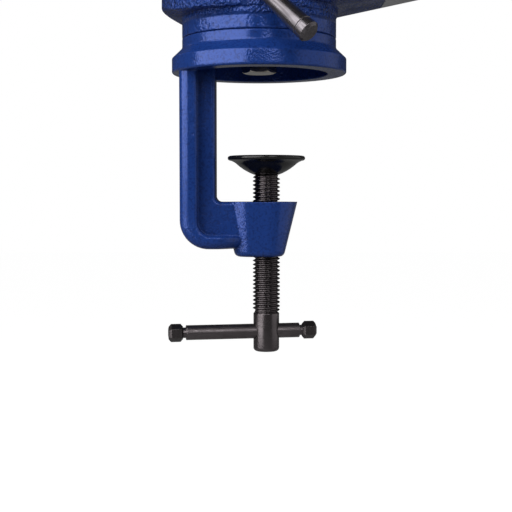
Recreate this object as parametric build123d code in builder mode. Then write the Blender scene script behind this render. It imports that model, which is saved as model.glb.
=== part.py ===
"""Clamp-on swivel bench vise whose moving jaw runs in a dovetail.

Millimetres, +Z up. The origin is on the swivel axis in the plane of the table face under the base ring.
-X points to the user and the main handle, +X to the anvil.
"""

import os
from math import ceil, cos, floor, radians, sin, sqrt, tan

from build123d import *

os.makedirs("parts", exist_ok=True)

# Clearances
seam_gap = 0.2  # between the base and the foot of the body
run_gap = 0.05  # radial, turned pieces that run in each other
bolt_gap = 0.3  # radial, holes that a screw or bolt passes through
tap_gap = 0.05  # radial, plain bores that stand in for tapped holes
slide_gap = 0.1  # square to each dovetail flank
floor_gap = 0.3  # under and over the slide
jaw_gap = 1.0  # between the moving jaw and the body that it passes
stop_gap = 0.3  # left at the end of a sliding bar's travel

# The width of the jaws sets the size of the base
jaw_width = 70.0

# Base ring and spigot
jaw_past_neck = 1.5
ring_step = 4.5
ring_land = 8.0
spigot_step = 10.5
ring_wall = 6.4
ring_cone = 4.3
rim_round = 1.0
neck_blend = 2.0
seam_round = 0.5
base_h = 15.0
hollow_depth = 9.8
spigot_h = 19.6

# C-shaped clamp arm: a web with a wider flange along its outside
arm_inset = 4.05
arm_depth = 15.0
throat = 55.5
lower_arm_h = 20.2
outer_corner_r = 12.4
inner_corner_r = 2.5
flange_width = 36.0
flange_end_width = 13.0
flange_straight = 4.0
flange_taper_r = 12.0
flange_side = 7.6
flange_low = 5.7
flange_corner_r = 6.0
flange_round = 4.0
flange_edge_r = 1.2
web_width = 22.4
web_inset = 5.0
web_edge_r = 1.6

# Screw boss at the end of the lower arm
screw_reach = 22.15
boss_h = 23.8
boss_top_d = 27.2
boss_bottom_d = 15.2
boss_bottom_w = 23.6
boss_reach = 6.0
boss_flat = 0.6
boss_round = 2.4

# Clamp screw and round cap
clamp_screw_d = 12.0
clamp_pitch = 1.75
clamp_depth = 1.07
clamp_thread = 60.7
clamp_head_d = 11.4
clamp_head_h = 17.2
clamp_head_round = 1.5
clamp_open = 35.4
pad_d = 34.0
pad_rim = 2.0
pad_h = 8.2
pad_flare_d = 25.6
pad_flare_h = 3.8
pad_cove = 0.24
pad_belly = 0.4
pad_skirt_d = 10.8
ball_d = 8.6
ball_cover = 1.7
ball_neck_d = 6.4

# Sliding bar of the clamp screw
bar_d = 6.5
bar_grip = 50.4
bar_neck_d = 4.6
bar_neck = 1.5
bar_turn = 11.0
bar_slid = 10.5
bar_drop = 8.3
bar_knob_af = 6.9
bar_knob = 6.2
bar_knob_bevel = 1.0
bar_tenon = 4.0

# Pivot bolt under the base
bolt_d = 8.0
bolt_head_af = 13.0
bolt_head_h = 5.8
bolt_head_bevel = 30.0
bolt_end_gap = 1.0
washer_d = 16.0
washer_t = 1.6
spring_washer_d = 14.2
spring_washer_t = 2.0
spring_washer_slit = 1.2

# Foot and body of the vise
foot_h = 8.8
foot_length_front = 42.3
foot_length_back = 30.0
foot_block_h = 13.2
foot_edge_r = 1.5
foot_step = 0.8
foot_rise = 3.2
bore_floor = 10.4
bore_end_gap = 0.5

# Swivel lock
lock_z = 31.4
lock_screw_d = 6.0
lock_plug_d = 5.8
lock_plug_l = 3.5
lock_pocket_d = 11.0
lock_pocket_depth = 2.4
lever_root_d = 7.0
lever_tip_d = 9.2
lever_reach = 32.3
lever_lean = 26.3
lever_droop = 46.7
lever_bend_r = 9.5
lever_bevel = 1.0
lever_groove = 0.5
lever_groove_at = 4.0

# Dovetail slide
slide_bottom_w = 44.0
way_width = 7.0
way_corner_r = 4.0
dovetail_angle = 60.0
dovetail_h = 12.8
slide_h = 24.0
slide_core_w = 20.8
slide_core_h = 18.5
slide_behind = 60.0
cavity_end_gap = 1.0
gib_t = 2.5
gib_screw_d = 5.0
gib_screw_at = (-26.0, 2.0, 26.0)
gib_nut_af = 8.0
gib_nut_t = 3.2
gib_screw_proud = 1.5
gib_socket_af = 2.5
gib_socket_depth = 2.5

# Jaws
jaw_plane = -20.0
rest_opening = 15.0
jaw_top = 102.0
plate_t = 6.0
plate_h = 22.0
plate_proud = 0.5
groove_pitch = 2.5
groove_depth = 0.5
jaw_thick = 21.0
jaw_slope = 8.0
jaw_edge_r = 1.5
column_depth = 35.5
column_top_depth = 18.0
plate_screw_d = 5.0
plate_screw_head_d = 9.6
plate_screw_l = 16.0
plate_screw_spacing = 44.0
plate_screw_sunk = 0.8
plate_screw_end_gap = 1.0
plate_socket_af = 3.0
plate_socket_depth = 2.6

# Anvil end
anvil_top = 78.0
anvil_end = 88.0
anvil_end_w = 34.0
anvil_under = 27.4
anvil_rise = 0.19
anvil_turn_x = 78.0
anvil_toe = 55.0
anvil_round = 14.0
anvil_edge_r = 2.0

# Main spindle
spindle_d = 12.0
spindle_pitch = 3.0
spindle_depth = 1.2
spindle_lift = 9.0
spindle_head_d = 20.0
spindle_head_l = 22.0
spindle_head_round = 2.0
spindle_washer_d = 22.0
spindle_washer_t = 1.5
front_wall = 12.0
front_width = 48.0
front_step = 8.0
collar_d = 16.6
collar_l = 6.0
collar_pin_d = 3.0
collar_end_gap = 0.3
spindle_past_nut = 34.0
nut_l = 20.0
nut_w = 20.0
nut_over = 8.0
nut_from_mouth = 6.5
nut_tenon_d = 10.0
nut_tenon_l = 6.0

# Main handle
handle_d = 10.0
handle_grip = 104.0
handle_hole_gap = 0.2
handle_neck_d = 6.0
handle_neck = 11.0
handle_knob_d = 18.0
handle_knob_l = 15.0
handle_knob_round = 4.0

# Worked out from the sizes above
neck_r = jaw_width / 2 - jaw_past_neck
ring_r = neck_r + ring_step
hollow_r = ring_r - ring_land
spigot_r = neck_r - spigot_step
body_width = slide_bottom_w + way_width * 2
spigot_top = base_h + spigot_h
arm_outer_x = ring_r - arm_inset
arm_inner_x = arm_outer_x - arm_depth
boss_x = screw_reach - arm_inner_x
boss_mid = boss_x - boss_reach / 2
flange_end = boss_x - boss_reach
arm_bottom = throat + lower_arm_h
bar_z = -(clamp_open + pad_h + clamp_thread + bar_drop)
thread_top = -(clamp_open + pad_h)
head_top = thread_top - clamp_thread
ball_r = ball_d / 2
ball_z = -clamp_open - ball_cover - run_gap - ball_r
bolt_r = bolt_d / 2
washer_top = hollow_depth
spring_top = washer_top - washer_t
bolt_seat = spring_top - spring_washer_t
foot_bottom = base_h + seam_gap
foot_block_bottom = foot_bottom + foot_h
foot_block_top = foot_block_bottom + foot_block_h
block_r = neck_r + foot_step
bore_top = spigot_top + bore_end_gap
slot_floor = bore_top + bore_floor
slide_bottom = slot_floor + floor_gap
dovetail_top = slide_bottom + dovetail_h
lip_top = dovetail_top - slide_gap * 2
slide_top = slide_bottom + slide_h
flank = tan(radians(dovetail_angle))
flank_gap = slide_gap / sin(radians(dovetail_angle))
gib_run = gib_t / sin(radians(dovetail_angle))
slide_half = slide_bottom_w / 2
rib_half = slide_half - dovetail_h / flank
spindle_z = slide_bottom + spindle_lift
plate_bottom = jaw_top - plate_h
fixed_face = jaw_plane + plate_t
moving_plane = jaw_plane - rest_opening
moving_face = moving_plane - plate_t
slide_end = moving_plane + slide_behind
cavity_end = jaw_plane + slide_behind + cavity_end_gap
mouth = -foot_length_front
moving_back = mouth - jaw_gap - rest_opening
jaw_under = lip_top + jaw_gap
wall_inner = moving_back - collar_end_gap
front_face = wall_inner - front_wall
washer_face = front_face - spindle_washer_t
collar_front = wall_inner + collar_end_gap
collar_back = collar_front + collar_l
spindle_end = mouth + nut_from_mouth + nut_l + spindle_past_nut
spindle_tip = washer_face - spindle_head_l
handle_x = washer_face - spindle_head_l / 2
nut_front = mouth + nut_from_mouth
plate_z = jaw_top - plate_h / 2
cut_reach = slide_behind + foot_length_front + anvil_end
screw_spots = [(side * plate_screw_spacing / 2, plate_z) for side in (-1, 1)]


def thread_points(crest_r, depth, start, length, pitch):
    """Outline of ring-shaped thread crests along an axis, as (radius, distance) points."""
    turns = ceil(length / pitch) - 1
    points = [(crest_r - depth, start)]
    for turn in range(turns):
        foot = start + turn * pitch
        points.append((crest_r, foot + pitch / 2))
        points.append((crest_r - depth, foot + pitch))
    return points


def dovetail_outline(extra_low, extra_high, bottom, top):
    """Dovetail section as (Y, Z) points, wider than the slide by the extras on its two sides."""
    low = [
        (-slide_half - extra_low + (z - slide_bottom) / flank, z) for z in (bottom, top)
    ]
    high = [
        (slide_half + extra_high - (z - slide_bottom) / flank, z) for z in (top, bottom)
    ]
    return low + high


# Base casting: the clamp arm, the screw boss and the turned ring
with BuildPart() as flange:
    with BuildSketch(Plane.XZ):
        with BuildLine():
            FilletPolyline(
                (-arm_outer_x, ring_wall - rim_round),
                (-arm_outer_x, -arm_bottom),
                (flange_end, -arm_bottom),
                (flange_end, flange_low - arm_bottom),
                (flange_side - arm_outer_x, flange_low - arm_bottom),
                (flange_side - arm_outer_x, ring_wall - rim_round),
                radius=[0, outer_corner_r, 0, 0, flange_corner_r, 0],
                close=True,
            )
        make_face()
    extrude(amount=flange_width / 2, both=True)
    with BuildSketch(Plane.XY):
        with BuildLine():
            FilletPolyline(
                (-arm_outer_x, flange_width / 2),
                (flange_straight - arm_inner_x, flange_width / 2),
                (flange_end, flange_end_width / 2),
                (flange_end, -flange_end_width / 2),
                (flange_straight - arm_inner_x, -flange_width / 2),
                (-arm_outer_x, -flange_width / 2),
                radius=[0, flange_taper_r, 0, 0, flange_taper_r, 0],
                close=True,
            )
        make_face()
    extrude(amount=arm_bottom, both=True, mode=Mode.INTERSECT)
    outside = flange.faces().sort_by(Axis.X)[0].edges() + flange.faces().sort_by(Axis.Z)[0].edges()
    corners = flange.edges().filter_by(GeomType.CIRCLE).filter_by(Plane.XZ).sort_by(SortBy.RADIUS)
    fillet(outside.filter_by(Axis.Y, reverse=True) + corners[-2:], flange_round)
    corners = flange.edges().filter_by(GeomType.CIRCLE).filter_by(Plane.XZ).sort_by(SortBy.RADIUS)
    fillet(corners[:2], flange_edge_r)

with BuildPart() as web:
    with BuildSketch(Plane.XZ):
        with BuildLine():
            FilletPolyline(
                (web_inset - arm_outer_x, hollow_depth),
                (web_inset - arm_outer_x, web_inset - arm_bottom),
                (boss_mid, web_inset - arm_bottom),
                (boss_mid, -throat),
                (-arm_inner_x, -throat),
                (-arm_inner_x, hollow_depth),
                radius=[0, outer_corner_r - web_inset, 0, 0, inner_corner_r, 0],
                close=True,
            )
        make_face()
    extrude(amount=web_width / 2, both=True)
    fillet(web.edges().filter_by(GeomType.CIRCLE).sort_by(SortBy.RADIUS)[:2], web_edge_r)

with BuildPart() as boss:
    with BuildSketch(Plane.XY.offset(-throat)):
        with Locations((boss_mid, 0)):
            RectangleRounded(boss_top_d + boss_reach, boss_top_d, boss_top_d / 2 - boss_flat)
    with BuildSketch(Plane.XY.offset(-throat - boss_h)):
        with Locations((boss_mid, 0)):
            RectangleRounded(boss_bottom_d + boss_reach, boss_bottom_w, boss_bottom_d / 2 - boss_flat)
    loft()
    fillet(boss.faces().sort_by(Axis.Z)[0].edges(), boss_round)

with BuildPart() as clamp_frame:
    with BuildSketch(Plane.XZ):
        with BuildLine():
            FilletPolyline(
                (hollow_r, 0),
                (ring_r, 0),
                (ring_r, ring_wall),
                (neck_r, ring_wall + ring_cone),
                (neck_r, base_h),
                (spigot_r, base_h),
                (spigot_r, spigot_top),
                (bolt_r + bolt_gap, spigot_top),
                (bolt_r + bolt_gap, hollow_depth),
                (hollow_r, hollow_depth),
                radius=[0, rim_round, rim_round, neck_blend, seam_round, 0, 0, 0, 0, 0],
                close=True,
            )
        make_face()
    revolve(axis=Axis.Z)
    add(flange.part)
    add(web.part)
    add(boss.part)
    with Locations((boss_x, 0, -throat)):
        Cylinder(
            clamp_screw_d / 2 + bolt_gap,
            boss_h * 2,
            mode=Mode.SUBTRACT,
        )
clamp_frame.part.label = "clamp_frame"
export_step(clamp_frame.part, "parts/clamp_frame.step")

# Clamp screw: ball end, thread and cross-drilled head
bar_dir = Vector(cos(radians(bar_turn)), sin(radians(bar_turn)), 0)
bar_plane = Plane(origin=(boss_x, 0, bar_z), x_dir=(0, 0, 1), z_dir=bar_dir)
screw_plane = Plane(origin=(boss_x, 0, 0), x_dir=(1, 0, 0), z_dir=(0, -1, 0))
screw_axis = Axis((boss_x, 0, 0), (0, 0, 1))
with BuildPart() as clamp_screw:
    with BuildSketch(screw_plane):
        with BuildLine():
            Polyline(
                (0, thread_top),
                (0, head_top),
                *thread_points(clamp_screw_d / 2, clamp_depth, head_top, clamp_thread, clamp_pitch),
                (ball_neck_d / 2, thread_top),
                close=True,
            )
        make_face()
    revolve(axis=screw_axis)
    with Locations((boss_x, 0, head_top - clamp_head_h / 2)):
        Cylinder(clamp_head_d / 2, clamp_head_h)
    fillet(
        clamp_screw.edges().filter_by(GeomType.CIRCLE).sort_by(Axis.Z)[0],
        clamp_head_round,
    )
    with Locations((boss_x, 0, ball_z)):
        Sphere(ball_r)
        Cylinder(
            ball_neck_d / 2,
            ball_z - thread_top + clamp_depth,
            align=(Align.CENTER, Align.CENTER, Align.MAX),
        )
    with BuildSketch(bar_plane):
        Circle(bar_d / 2 + handle_hole_gap)
    extrude(amount=clamp_head_d, both=True, mode=Mode.SUBTRACT)
clamp_screw.part.label = "clamp_screw"
export_step(clamp_screw.part, "parts/clamp_screw.step")

# Round cap that bears on the underside of the table
with BuildPart() as clamp_pad:
    with BuildSketch(screw_plane):
        with BuildLine():
            top = Line((0, -clamp_open), (pad_d / 2 - pad_rim / 2, -clamp_open))
            rim = ThreePointArc(
                top @ 1,
                (pad_d / 2, -clamp_open - pad_rim / 2),
                (pad_d / 2 - pad_rim / 2, -clamp_open - pad_rim),
            )
            cove = SagittaArc(rim @ 1, (pad_flare_d / 2, -clamp_open - pad_flare_h), -pad_cove)
            belly = SagittaArc(cove @ 1, (pad_skirt_d / 2, thread_top), pad_belly)
            Polyline(belly @ 1, (0, thread_top), top @ 0)
        make_face()
    revolve(axis=screw_axis)
    with Locations((boss_x, 0, ball_z)):
        Sphere(ball_r + run_gap, mode=Mode.SUBTRACT)
        Cylinder(
            ball_neck_d / 2 + bolt_gap,
            pad_h,
            align=(Align.CENTER, Align.CENTER, Align.MAX),
            mode=Mode.SUBTRACT,
        )
clamp_pad.part.label = "clamp_pad"
export_step(clamp_pad.part, "parts/clamp_pad.step")

# Sliding bar, slid to one side as it rests
bar_half = bar_grip / 2
knob_start = bar_half + bar_neck
with BuildPart(bar_plane) as clamp_bar:
    with Locations((0, 0, -bar_slid)):
        Cylinder(bar_d / 2, bar_grip)
        Cylinder(bar_neck_d / 2, (knob_start + bar_tenon) * 2)
clamp_bar.part.label = "clamp_bar"
export_step(clamp_bar.part, "parts/clamp_bar.step")

with BuildPart() as clamp_bar_knobs:
    for side in (-1, 1):
        with BuildSketch(bar_plane.offset(side * knob_start - bar_slid)):
            RegularPolygon(bar_knob_af / 2, 6, major_radius=False)
        extrude(amount=side * bar_knob)
    bevels = clamp_bar_knobs.edges().filter_by(Axis(bar_plane.origin, bar_dir), reverse=True)
    chamfer(bevels, bar_knob_bevel)
    with BuildSketch(bar_plane.offset(-bar_slid)):
        Circle(bar_neck_d / 2 + tap_gap)
    extrude(amount=knob_start + bar_tenon, both=True, mode=Mode.SUBTRACT)
clamp_bar_knobs.part.label = "clamp_bar_knobs"
export_step(clamp_bar_knobs.part, "parts/clamp_bar_knobs.step")

# Pivot bolt, drawn up against the base from below
with BuildPart() as pivot_bolt:
    with BuildSketch(Plane.XY.offset(bolt_seat)):
        RegularPolygon(bolt_head_af / 2, 6, major_radius=False)
    extrude(amount=-bolt_head_h)
    with BuildSketch(Plane.XY.offset(bolt_seat - bolt_head_h)):
        Circle(bolt_head_af / 2)
    extrude(amount=bolt_head_h, taper=bolt_head_bevel - 90, mode=Mode.INTERSECT)
    with Locations((0, 0, bolt_seat)):
        Cylinder(
            bolt_r,
            slot_floor - bolt_end_gap - bolt_seat,
            align=(Align.CENTER, Align.CENTER, Align.MIN),
        )
pivot_bolt.part.label = "pivot_bolt"
export_step(pivot_bolt.part, "parts/pivot_bolt.step")

with BuildPart() as pivot_washer:
    with BuildSketch(Plane.XY.offset(spring_top)):
        Circle(washer_d / 2)
        Circle(bolt_r + bolt_gap, mode=Mode.SUBTRACT)
    extrude(amount=washer_t)
pivot_washer.part.label = "pivot_washer"
export_step(pivot_washer.part, "parts/pivot_washer.step")

with BuildPart() as pivot_spring_washer:
    with BuildSketch(Plane.XY.offset(bolt_seat)):
        Circle(spring_washer_d / 2)
        Circle(bolt_r + bolt_gap, mode=Mode.SUBTRACT)
        with Locations((spring_washer_d / 2, 0)):
            Rectangle(spring_washer_d, spring_washer_slit, mode=Mode.SUBTRACT)
    extrude(amount=spring_washer_t)
pivot_spring_washer.part.label = "pivot_spring_washer"
export_step(pivot_spring_washer.part, "parts/pivot_spring_washer.step")

# Fixed jaw column that bridges the slide
with BuildPart() as column:
    with BuildSketch(Plane.XZ):
        with BuildLine():
            Polyline(
                (jaw_plane + plate_proud, lip_top),
                (jaw_plane + plate_proud, plate_bottom),
                (fixed_face, plate_bottom),
                (fixed_face, jaw_top),
                (fixed_face + column_top_depth, jaw_top),
                (jaw_plane + column_depth, anvil_top),
                (jaw_plane + column_depth, lip_top),
                close=True,
            )
        make_face()
    extrude(amount=jaw_width / 2, both=True)
    with BuildSketch(Plane.YZ):
        with BuildLine():
            Polyline(
                (-body_width / 2, lip_top),
                (-body_width / 2, slide_top),
                (-jaw_width / 2, plate_bottom),
                (-jaw_width / 2, jaw_top),
                (jaw_width / 2, jaw_top),
                (jaw_width / 2, plate_bottom),
                (body_width / 2, slide_top),
                (body_width / 2, lip_top),
                close=True,
            )
        make_face()
    extrude(amount=cut_reach, both=True, mode=Mode.INTERSECT)
    fillet(column.faces().sort_by(Axis.Z)[-1].edges(), jaw_edge_r)

# Back of the body, tapering to the anvil end
with BuildPart() as anvil:
    with BuildSketch(Plane.XZ):
        with BuildLine():
            FilletPolyline(
                (0, anvil_under),
                (foot_length_back, anvil_under),
                (anvil_turn_x, anvil_under + anvil_rise * (anvil_turn_x - foot_length_back)),
                (anvil_end, anvil_toe),
                (anvil_end, anvil_top),
                (0, anvil_top),
                radius=[0, 0, anvil_round, anvil_edge_r, anvil_edge_r, 0],
                close=True,
            )
        make_face()
    extrude(amount=body_width / 2, both=True)
    with BuildSketch(Plane.XY):
        with BuildLine():
            Polyline(
                (0, body_width / 2),
                (jaw_plane + column_depth, body_width / 2),
                (anvil_end, anvil_end_w / 2),
                (anvil_end, -anvil_end_w / 2),
                (jaw_plane + column_depth, -body_width / 2),
                (0, -body_width / 2),
                close=True,
            )
        make_face()
    extrude(amount=jaw_top, mode=Mode.INTERSECT)
    back_edges = anvil.edges().filter_by_position(Axis.X, foot_length_back, anvil_end)
    fillet(back_edges.filter_by(Plane.XZ, reverse=True).filter_by(Axis.Y, reverse=True), anvil_edge_r)

# Oval block between the round foot and the slide ways
with BuildPart() as foot_block:
    with BuildSketch(Plane.XY.offset(foot_block_bottom)):
        with Locations(((block_r - foot_length_front) / 2, 0)):
            SlotCenterToCenter(foot_length_front - block_r, block_r * 2)
    extrude(amount=foot_block_h)
    with BuildSketch(Plane.XZ):
        with BuildLine():
            Polyline(
                (-neck_r, foot_block_bottom),
                (-foot_length_front, foot_block_bottom),
                (-foot_length_front, foot_block_bottom + foot_rise),
                close=True,
            )
        make_face()
    extrude(amount=block_r, both=True, mode=Mode.SUBTRACT)
    bottom_faces = foot_block.faces().sort_by(Axis.Z)[:2]
    fillet(bottom_faces.edges().filter_by(Axis.Y, reverse=True), foot_edge_r)

# Block that the slide ways are cut into
with BuildPart() as way_block:
    with BuildSketch(Plane.XY.offset(foot_block_top)):
        with Locations(((mouth + foot_length_back) / 2, 0)):
            RectangleRounded(foot_length_back - mouth, body_width, way_corner_r)
    extrude(amount=lip_top - foot_block_top)
    fillet(way_block.faces().sort_by(Axis.Z)[-1].edges(), foot_edge_r)

# Body casting: foot, block, slide ways, fixed jaw and anvil
with BuildPart() as vise_body:
    with BuildSketch(Plane.XY.offset(foot_bottom)):
        Circle(neck_r)
    extrude(amount=foot_h + foot_block_h / 2)
    fillet(vise_body.faces().sort_by(Axis.Z)[0].edges(), seam_round)
    add(foot_block.part)
    add(way_block.part)
    add(anvil.part)
    add(column.part)
    with Locations((0, 0, foot_bottom)):
        Cylinder(
            spigot_r + run_gap,
            bore_top - foot_bottom,
            align=(Align.CENTER, Align.CENTER, Align.MIN),
            mode=Mode.SUBTRACT,
        )
        Cylinder(
            bolt_r + tap_gap,
            slot_floor - foot_bottom,
            align=(Align.CENTER, Align.CENTER, Align.MIN),
            mode=Mode.SUBTRACT,
        )
    with BuildSketch(Plane.YZ.offset(mouth - jaw_gap)):
        slot = dovetail_outline(flank_gap, flank_gap * 2 + gib_run, slot_floor, lip_top)
        with BuildLine():
            Polyline(
                *slot[:2],
                (slot[1][0], slide_top + floor_gap),
                (slot[2][0], slide_top + floor_gap),
                *slot[2:],
                close=True,
            )
        make_face()
    extrude(amount=cavity_end - mouth + jaw_gap, mode=Mode.SUBTRACT)
    with Locations((nut_front + nut_l / 2, 0, slot_floor)):
        Cylinder(nut_tenon_d / 2 + tap_gap, nut_tenon_l * 2, mode=Mode.SUBTRACT)
    with BuildSketch(Plane.XZ.offset(spigot_r - run_gap * 2)):
        with Locations((0, lock_z)):
            Circle(lock_screw_d / 2 + run_gap * 2)
    extrude(amount=neck_r, mode=Mode.SUBTRACT)
    with BuildSketch(Plane.XZ.offset(neck_r - lock_pocket_depth)):
        with Locations((0, lock_z)):
            Circle(lock_pocket_d / 2)
    extrude(amount=lock_pocket_d, mode=Mode.SUBTRACT)
    with BuildSketch(Plane.XZ.offset(-body_width / 2)):
        with Locations(*[(x, (slide_bottom + lip_top) / 2) for x in gib_screw_at]):
            Circle(gib_screw_d / 2 + tap_gap)
    extrude(amount=body_width / 2 - rib_half, mode=Mode.SUBTRACT)
    with BuildSketch(Plane.YZ.offset(fixed_face)):
        with Locations(*screw_spots):
            Circle(plate_screw_d / 2 + tap_gap)
    extrude(amount=plate_screw_l - plate_t, mode=Mode.SUBTRACT)
vise_body.part.label = "vise_body"
export_step(vise_body.part, "parts/vise_body.step")

# Swivel lock: brass plug and bent lever
plug_front = -spigot_r - run_gap
plug_back = plug_front - lock_plug_l
with BuildPart() as lock_plug:
    with BuildSketch(Plane.XZ.offset(-plug_front)):
        with Locations((0, lock_z)):
            Circle(lock_plug_d / 2)
    extrude(amount=lock_plug_l)
lock_plug.part.label = "lock_plug"
export_step(lock_plug.part, "parts/lock_plug.step")

droop = radians(lever_droop)
lean = radians(lever_lean)
lever_dir = Vector(cos(droop) * cos(lean), -sin(lean), -sin(droop) * cos(lean))
bend_tangent = lever_bend_r * tan(radians(90 - lever_lean) / 2)
pocket_floor = -neck_r + lock_pocket_depth
bend_corner = Vector(0, pocket_floor - slide_gap - bend_tangent, lock_z)
lever_end = bend_corner + lever_dir * lever_reach
lever_plane = Plane(origin=lever_end, z_dir=lever_dir)
bend_out = bend_corner + lever_dir * bend_tangent
lever_grip = lever_reach - bend_tangent
with BuildPart() as lock_lever:
    with BuildLine() as lever_line:
        FilletPolyline((0, pocket_floor, lock_z), bend_corner, lever_end, radius=lever_bend_r)
    with BuildSketch(Plane.XZ.offset(-pocket_floor)):
        with Locations((0, lock_z)):
            Circle(lever_root_d / 2)
    sweep(path=Wire(lever_line.edges().sort_by(Axis.Z)[1:]))
    with BuildSketch(Plane(origin=bend_out, z_dir=lever_dir)):
        Circle(lever_root_d / 2)
    with BuildSketch(lever_plane):
        Circle(lever_tip_d / 2)
    loft()
    chamfer(lock_lever.faces().sort_by(Axis.Z)[0].edges(), lever_bevel)
    with BuildSketch(Plane.XZ.offset(-plug_back)):
        with Locations((0, lock_z)):
            Circle(lock_screw_d / 2)
    extrude(amount=plug_back - pocket_floor)
    with BuildSketch(lever_plane.offset(-lever_groove_at)):
        Circle(lever_tip_d)
        Circle(lever_tip_d / 2 - lever_groove, mode=Mode.SUBTRACT)
    extrude(amount=-lever_groove * 2, mode=Mode.SUBTRACT)
lock_lever.part.label = "lock_lever"
export_step(lock_lever.part, "parts/lock_lever.step")

# Moving jaw with its hollow dovetail slide
with BuildPart() as moving_jaw:
    with BuildSketch(Plane.XZ):
        with BuildLine():
            Polyline(
                (front_face, slide_bottom),
                (front_face, slide_top),
                (moving_face - jaw_thick, plate_bottom),
                (moving_face - jaw_thick + jaw_slope, jaw_top),
                (moving_face, jaw_top),
                (moving_face, plate_bottom),
                (moving_plane - plate_proud, plate_bottom),
                (moving_plane - plate_proud, jaw_under),
                (moving_back, jaw_under),
                (moving_back, slide_bottom),
                close=True,
            )
        make_face()
    extrude(amount=jaw_width / 2, both=True)
    with BuildSketch(Plane.YZ):
        with BuildLine():
            Polyline(
                (-front_width / 2, slide_bottom),
                (-front_width / 2, slide_top - front_step),
                (-jaw_width / 2, slide_top),
                (-jaw_width / 2, jaw_top),
                (jaw_width / 2, jaw_top),
                (jaw_width / 2, slide_top),
                (front_width / 2, slide_top - front_step),
                (front_width / 2, slide_bottom),
                close=True,
            )
        make_face()
    extrude(amount=cut_reach, both=True, mode=Mode.INTERSECT)
    fillet(moving_jaw.faces().sort_by(Axis.Z)[-1].edges(), jaw_edge_r)
    with BuildSketch(Plane.YZ.offset(front_face)):
        slide = dovetail_outline(0, 0, slide_bottom, dovetail_top)
        with BuildLine():
            Polyline(
                *slide[:2],
                (-rib_half, slide_top),
                (rib_half, slide_top),
                *slide[2:],
                close=True,
            )
        make_face()
    extrude(amount=slide_end - front_face)
    with BuildSketch(Plane.YZ.offset(wall_inner)):
        with Locations((0, slide_bottom)):
            Rectangle(slide_core_w, slide_core_h * 2)
    extrude(amount=slide_end - wall_inner, mode=Mode.SUBTRACT)
    with BuildSketch(Plane.YZ.offset(front_face)):
        with Locations((0, spindle_z)):
            Circle(spindle_d / 2 + run_gap)
    extrude(amount=front_wall, mode=Mode.SUBTRACT)
    with BuildSketch(Plane.YZ.offset(moving_face)):
        with Locations(*screw_spots):
            Circle(plate_screw_d / 2 + tap_gap)
    extrude(amount=plate_t - plate_screw_l, mode=Mode.SUBTRACT)
moving_jaw.part.label = "moving_jaw"
export_step(moving_jaw.part, "parts/moving_jaw.step")

# Jaw plates and their screws, one set for each jaw
for jaw, seat, way in (("fixed", fixed_face, -1), ("moving", moving_face, 1)):
    face = seat + way * plate_t
    grooves = floor(jaw_width / groove_pitch)
    groove_side = groove_depth * sqrt(2)
    head_depth = (plate_screw_head_d - plate_screw_d) / 2
    with BuildPart() as jaw_plate:
        with BuildSketch(Plane.YZ.offset(seat)):
            with Locations((0, plate_z)):
                Rectangle(jaw_width, plate_h)
        extrude(amount=way * plate_t)
        with BuildSketch(Plane.XY.offset(plate_bottom)):
            with Locations((face, 0)):
                with GridLocations(1, groove_pitch, 1, grooves):
                    Rectangle(groove_side, groove_side, rotation=45)
        extrude(amount=plate_h, mode=Mode.SUBTRACT)
        for spot in screw_spots:
            with BuildSketch(Plane.YZ.offset(seat)):
                with Locations(spot):
                    Circle(plate_screw_d / 2 + bolt_gap)
            extrude(amount=way * plate_t, mode=Mode.SUBTRACT)
            with BuildSketch(Plane.YZ.offset(face - way * plate_screw_sunk)):
                with Locations(spot):
                    Circle(plate_screw_head_d / 2 + bolt_gap)
            extrude(amount=way * plate_t, mode=Mode.SUBTRACT)
            with BuildSketch(Plane.YZ.offset(face - way * plate_screw_sunk)):
                with Locations(spot):
                    Circle(plate_screw_head_d / 2 + bolt_gap)
            extrude(amount=-way * head_depth, taper=45, mode=Mode.SUBTRACT)
    jaw_plate.part.label = jaw + "_jaw_plate"
    export_step(jaw_plate.part, "parts/" + jaw + "_jaw_plate.step")
    with BuildPart() as jaw_screws:
        for spot in screw_spots:
            with BuildSketch(Plane.YZ.offset(face - way * plate_screw_sunk)):
                with Locations(spot):
                    Circle(plate_screw_head_d / 2)
            extrude(amount=-way * head_depth, taper=45)
            with BuildSketch(Plane.YZ.offset(face - way * plate_screw_sunk)):
                with Locations(spot):
                    Circle(plate_screw_d / 2)
            extrude(amount=-way * (plate_screw_l - plate_screw_sunk - plate_screw_end_gap))
            with BuildSketch(Plane.YZ.offset(face - way * plate_screw_sunk)):
                with Locations(spot):
                    RegularPolygon(plate_socket_af / 2, 6, major_radius=False)
            extrude(amount=-way * plate_socket_depth, mode=Mode.SUBTRACT)
    jaw_screws.part.label = jaw + "_jaw_screws"
    export_step(jaw_screws.part, "parts/" + jaw + "_jaw_screws.step")

# Gib strip with its adjusting screws and lock nuts
gib_bottom = slide_bottom
gib_top = lip_top - slide_gap
gib_y = (slide_bottom + lip_top) / 2
with BuildPart() as gib_strip:
    inner = dovetail_outline(0, flank_gap, gib_bottom, gib_top)[2:]
    outer = dovetail_outline(0, flank_gap + gib_run, gib_bottom, gib_top)[2:]
    with BuildSketch(Plane.YZ.offset(mouth + jaw_gap)):
        with BuildLine():
            Polyline(*inner, outer[1], outer[0], close=True)
        make_face()
    extrude(amount=cavity_end - mouth - jaw_gap * 2)
gib_strip.part.label = "gib_strip"
export_step(gib_strip.part, "parts/gib_strip.step")

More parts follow.
